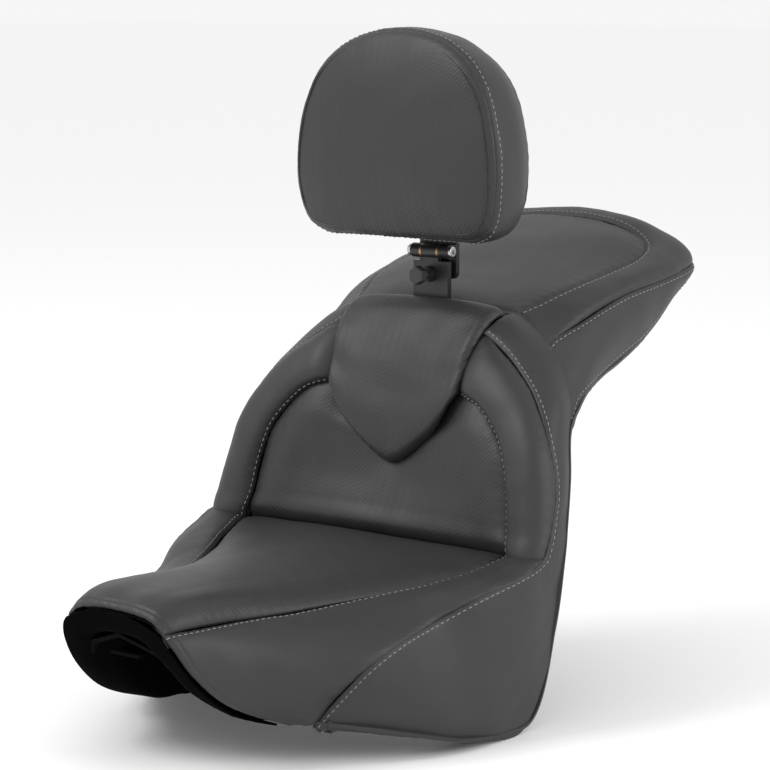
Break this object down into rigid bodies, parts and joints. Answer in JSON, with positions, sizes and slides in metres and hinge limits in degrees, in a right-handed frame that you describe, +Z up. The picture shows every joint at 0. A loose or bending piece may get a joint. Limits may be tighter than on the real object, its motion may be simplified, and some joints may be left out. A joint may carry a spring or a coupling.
{
  "type": "motorcycle seat",
  "caption": "Two-up motorcycle seat with a bucketed rider section, a passenger pillion and a folding, height-adjustable rider's backrest on a steel post.",
  "frame": {"origin": "centre of the fender screw hole in the steel tab under the tail", "axes": "+Y points to the rear of the bike, +X to the bike's left, +Z up"},
  "size_m": [0.43, 0.754, 0.658],
  "materials": {
    "charcoal_vinyl": "semi-matte grained vinyl",
    "woven_vinyl": "semi-matte vinyl embossed with a fine diagonal weave",
    "black_steel": "satin black powder coat",
    "pan_plastic": "moulded, matte",
    "foam": "open-cell moulded foam",
    "gel": "soft gel sheet",
    "bumper_rubber": "matte",
    "bright_steel": "zinc plated",
    "stainless": "polished",
    "bronze": "turned",
    "knob_plastic": "moulded",
    "board": "plywood"
  },
  "bodies": {
    "seat": {"base_pan": "pan_plastic", "fender_tab": "black_steel", "front_tongue": "black_steel", "strap_rivets": "bright_steel", "pan_bumpers": "bumper_rubber", "hem_rivets": "bright_steel", "post_receiver": "black_steel", "receiver_bolts": "bright_steel", "receiver_nuts": "bright_steel", "post_spring": "bright_steel", "rider_insert_cover": "woven_vinyl", "rider_side_cover_left": "charcoal_vinyl", "rider_side_cover_right": "charcoal_vinyl", "rear_side_cover_left": "charcoal_vinyl", "rear_side_cover_right": "charcoal_vinyl", "lumbar_bolster_cover_left": "charcoal_vinyl", "lumbar_bolster_cover_right": "charcoal_vinyl", "lumbar_insert_cover": "woven_vinyl", "shield_pad": "woven_vinyl", "pillion_insert_cover": "charcoal_vinyl", "pillion_band_cover": "charcoal_vinyl", "pillion_side_cover": "charcoal_vinyl", "rider_gel_pad": "gel", "pillion_gel_pad": "gel", "rider_foam": "foam", "lumbar_foam": "foam", "pillion_foam": "foam"},
    "post": {"backrest_post": "black_steel"},
    "tilt_screw": {"tilt_stud": "bright_steel"},
    "tilt_knob": {"tilt_knob": "knob_plastic"},
    "backrest": {"pad_bracket": "black_steel", "hinge_screw": "stainless", "hinge_nut": "stainless", "hinge_washers": "bronze", "pad_face_cover": "woven_vinyl", "pad_boxing_band": "charcoal_vinyl", "pad_back_cover": "charcoal_vinyl", "pad_board": "board", "pad_tee_nuts": "bright_steel", "pad_bolts": "bright_steel", "pad_foam": "foam"}
  },
  "joints": [
    {"name": "post_lift", "type": "slide", "parent": "seat", "child": "post", "axis": [0, 0, 1], "range_m": [0, 0.09]},
    {"name": "backrest_fold", "type": "hinge", "parent": "post", "child": "backrest", "pos_m": [0, -0.278, 0.069], "axis": [1, 0, 0], "range_deg": [0, 45]},
    {"name": "tilt_screw_travel", "type": "slide", "parent": "post", "child": "tilt_screw", "axis": [0, -1, 0], "range_m": [0, 0.005]},
    {"name": "tilt_knob_turn", "type": "hinge", "parent": "tilt_screw", "child": "tilt_knob", "pos_m": [0, -0.301, 0.046], "axis": [0, -1, 0], "range_deg": [0, 1440]}
  ],
  "couplings": [
    {"joint": "tilt_knob_turn", "follows": "tilt_screw_travel", "rad_per_m": 5026.5}
  ]
}
